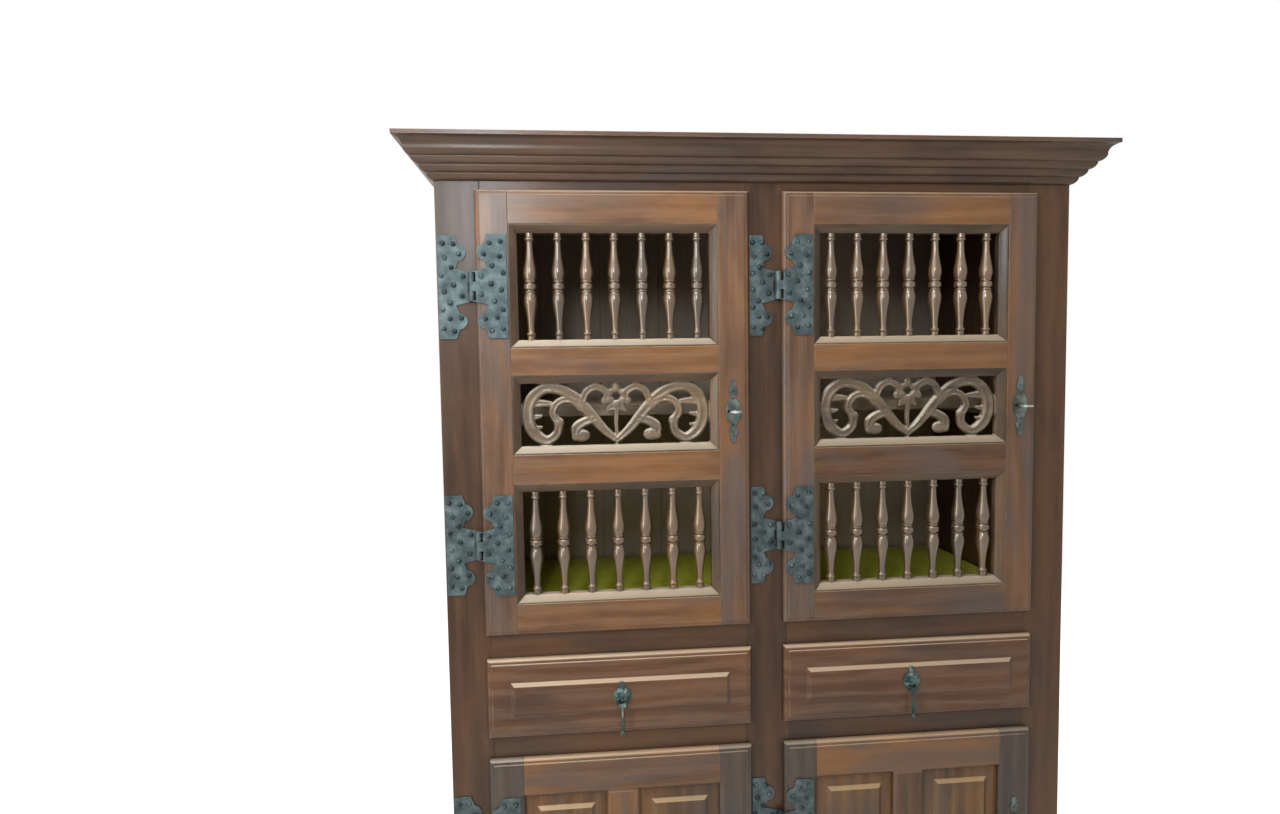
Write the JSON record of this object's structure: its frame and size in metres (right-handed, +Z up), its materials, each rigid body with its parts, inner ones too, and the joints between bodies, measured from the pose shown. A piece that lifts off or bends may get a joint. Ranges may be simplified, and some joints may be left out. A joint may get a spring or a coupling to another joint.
{
  "type": "trastero cabinet",
  "caption": "Tall two-bay cupboard with spindle and fretwork doors above, drawers at the waist and panelled doors below, on iron butterfly hinges.",
  "frame": {"origin": "bottom centre of the whole cabinet, on the floor", "axes": "+Z up, +X to the right seen from the front, +Y to the back; the doors face -Y"},
  "size_m": [1.164, 0.472, 1.755],
  "materials": {
    "stained_walnut": "semi-gloss red-brown stain and wax",
    "turned_walnut": "turned and waxed",
    "carved_walnut": "sawn and carved, dry wax",
    "raw_pine": "plain planed board, dull",
    "blackened_iron": "hammered, blued",
    "worn_steel": "worn bright by handling",
    "green_felt": "woollen felt"
  },
  "bodies": {
    "carcase": {"side_left": "stained_walnut", "side_right": "stained_walnut", "top_board": "stained_walnut", "bottom_board": "raw_pine", "drawer_board": "raw_pine", "waist_board": "raw_pine", "drawer_partition": "raw_pine", "back_boards": "raw_pine", "shelves": "raw_pine", "shelf_cleats": "raw_pine", "drawer_guides": "raw_pine", "face_stiles": "stained_walnut", "face_rails": "stained_walnut", "cornice": "stained_walnut", "plinth": "stained_walnut", "felt_liner": "green_felt", "frame_hinge_leaves": "blackened_iron", "hinge_pins": "blackened_iron"},
    "upper_left_door": {"upper_left_stiles": "stained_walnut", "upper_left_rails": "stained_walnut", "upper_left_moulds": "stained_walnut", "upper_left_spindles": "turned_walnut", "upper_left_fretwork": "carved_walnut", "upper_left_hinge_leaves": "blackened_iron", "upper_left_lock": "blackened_iron"},
    "upper_left_lock_bolt": {"upper_left_lock_bolt": "blackened_iron"},
    "upper_left_key": {"upper_left_key": "worn_steel"},
    "lower_left_door": {"lower_left_stiles": "stained_walnut", "lower_left_rails": "stained_walnut", "lower_left_panels": "stained_walnut", "lower_left_hinge_leaves": "blackened_iron", "lower_left_lock": "blackened_iron"},
    "lower_left_lock_bolt": {"lower_left_lock_bolt": "blackened_iron"},
    "lower_left_key": {"lower_left_key": "worn_steel"},
    "drawer_left": {"drawer_left_front": "stained_walnut", "drawer_left_box": "raw_pine", "drawer_left_pull_plate": "blackened_iron"},
    "drawer_left_pull": {"drawer_left_pull_drop": "blackened_iron"},
    "upper_right_door": {"upper_right_stiles": "stained_walnut", "upper_right_rails": "stained_walnut", "upper_right_moulds": "stained_walnut", "upper_right_spindles": "turned_walnut", "upper_right_fretwork": "carved_walnut", "upper_right_hinge_leaves": "blackened_iron", "upper_right_lock": "blackened_iron"},
    "upper_right_lock_bolt": {"upper_right_lock_bolt": "blackened_iron"},
    "upper_right_key": {"upper_right_key": "worn_steel"},
    "lower_right_door": {"lower_right_stiles": "stained_walnut", "lower_right_rails": "stained_walnut", "lower_right_panels": "stained_walnut", "lower_right_hinge_leaves": "blackened_iron", "lower_right_lock": "blackened_iron"},
    "lower_right_lock_bolt": {"lower_right_lock_bolt": "blackened_iron"},
    "lower_right_key": {"lower_right_key": "worn_steel"},
    "drawer_right": {"drawer_right_front": "stained_walnut", "drawer_right_box": "raw_pine", "drawer_right_pull_plate": "blackened_iron"},
    "drawer_right_pull": {"drawer_right_pull_drop": "blackened_iron"}
  },
  "joints": [
    {"name": "upper_left_door_hinge", "type": "hinge", "parent": "carcase", "child": "upper_left_door", "pos_m": [-0.4745, -0.19115, 1.319], "axis": [0, 0, -1], "range_deg": [0, 110]},
    {"name": "upper_left_key_turn", "type": "hinge", "parent": "upper_left_door", "child": "upper_left_key", "pos_m": [-0.057, -0.195, 1.319], "axis": [0, 1, 0], "range_deg": [0, 90]},
    {"name": "upper_left_bolt_slide", "type": "slide", "parent": "upper_left_door", "child": "upper_left_lock_bolt", "axis": [1, 0, 0], "range_m": [0, 0.014]},
    {"name": "lower_left_door_hinge", "type": "hinge", "parent": "carcase", "child": "lower_left_door", "pos_m": [-0.4745, -0.19115, 0.57825], "axis": [0, 0, -1], "range_deg": [0, 110]},
    {"name": "lower_left_key_turn", "type": "hinge", "parent": "lower_left_door", "child": "lower_left_key", "pos_m": [-0.057, -0.195, 0.57825], "axis": [0, 1, 0], "range_deg": [0, 90]},
    {"name": "lower_left_bolt_slide", "type": "slide", "parent": "lower_left_door", "child": "lower_left_lock_bolt", "axis": [1, 0, 0], "range_m": [0, 0.014]},
    {"name": "drawer_left_slide", "type": "slide", "parent": "carcase", "child": "drawer_left", "axis": [0, -1, 0], "range_m": [0, 0.27]},
    {"name": "drawer_left_pull_swing", "type": "hinge", "parent": "drawer_left", "child": "drawer_left_pull", "pos_m": [-0.248, -0.2103, 0.84], "axis": [-1, 0, 0], "range_deg": [0, 80]},
    {"name": "upper_right_door_hinge", "type": "hinge", "parent": "carcase", "child": "upper_right_door", "pos_m": [0.0215, -0.19115, 1.319], "axis": [0, 0, -1], "range_deg": [0, 110]},
    {"name": "upper_right_key_turn", "type": "hinge", "parent": "upper_right_door", "child": "upper_right_key", "pos_m": [0.439, -0.195, 1.319], "axis": [0, 1, 0], "range_deg": [0, 90]},
    {"name": "upper_right_bolt_slide", "type": "slide", "parent": "upper_right_door", "child": "upper_right_lock_bolt", "axis": [1, 0, 0], "range_m": [0, 0.014]},
    {"name": "lower_right_door_hinge", "type": "hinge", "parent": "carcase", "child": "lower_right_door", "pos_m": [0.0215, -0.19115, 0.57825], "axis": [0, 0, -1], "range_deg": [0, 110]},
    {"name": "lower_right_key_turn", "type": "hinge", "parent": "lower_right_door", "child": "lower_right_key", "pos_m": [0.439, -0.195, 0.57825], "axis": [0, 1, 0], "range_deg": [0, 90]},
    {"name": "lower_right_bolt_slide", "type": "slide", "parent": "lower_right_door", "child": "lower_right_lock_bolt", "axis": [1, 0, 0], "range_m": [0, 0.014]},
    {"name": "drawer_right_slide", "type": "slide", "parent": "carcase", "child": "drawer_right", "axis": [0, -1, 0], "range_m": [0, 0.27]},
    {"name": "drawer_right_pull_swing", "type": "hinge", "parent": "drawer_right", "child": "drawer_right_pull", "pos_m": [0.248, -0.2103, 0.84], "axis": [-1, 0, 0], "range_deg": [0, 80]}
  ],
  "couplings": [
    {"joint": "upper_left_key_turn", "follows": "upper_left_bolt_slide", "rad_per_m": 112.2},
    {"joint": "lower_left_key_turn", "follows": "lower_left_bolt_slide", "rad_per_m": 112.2},
    {"joint": "upper_right_key_turn", "follows": "upper_right_bolt_slide", "rad_per_m": 112.2},
    {"joint": "lower_right_key_turn", "follows": "lower_right_bolt_slide", "rad_per_m": 112.2}
  ]
}
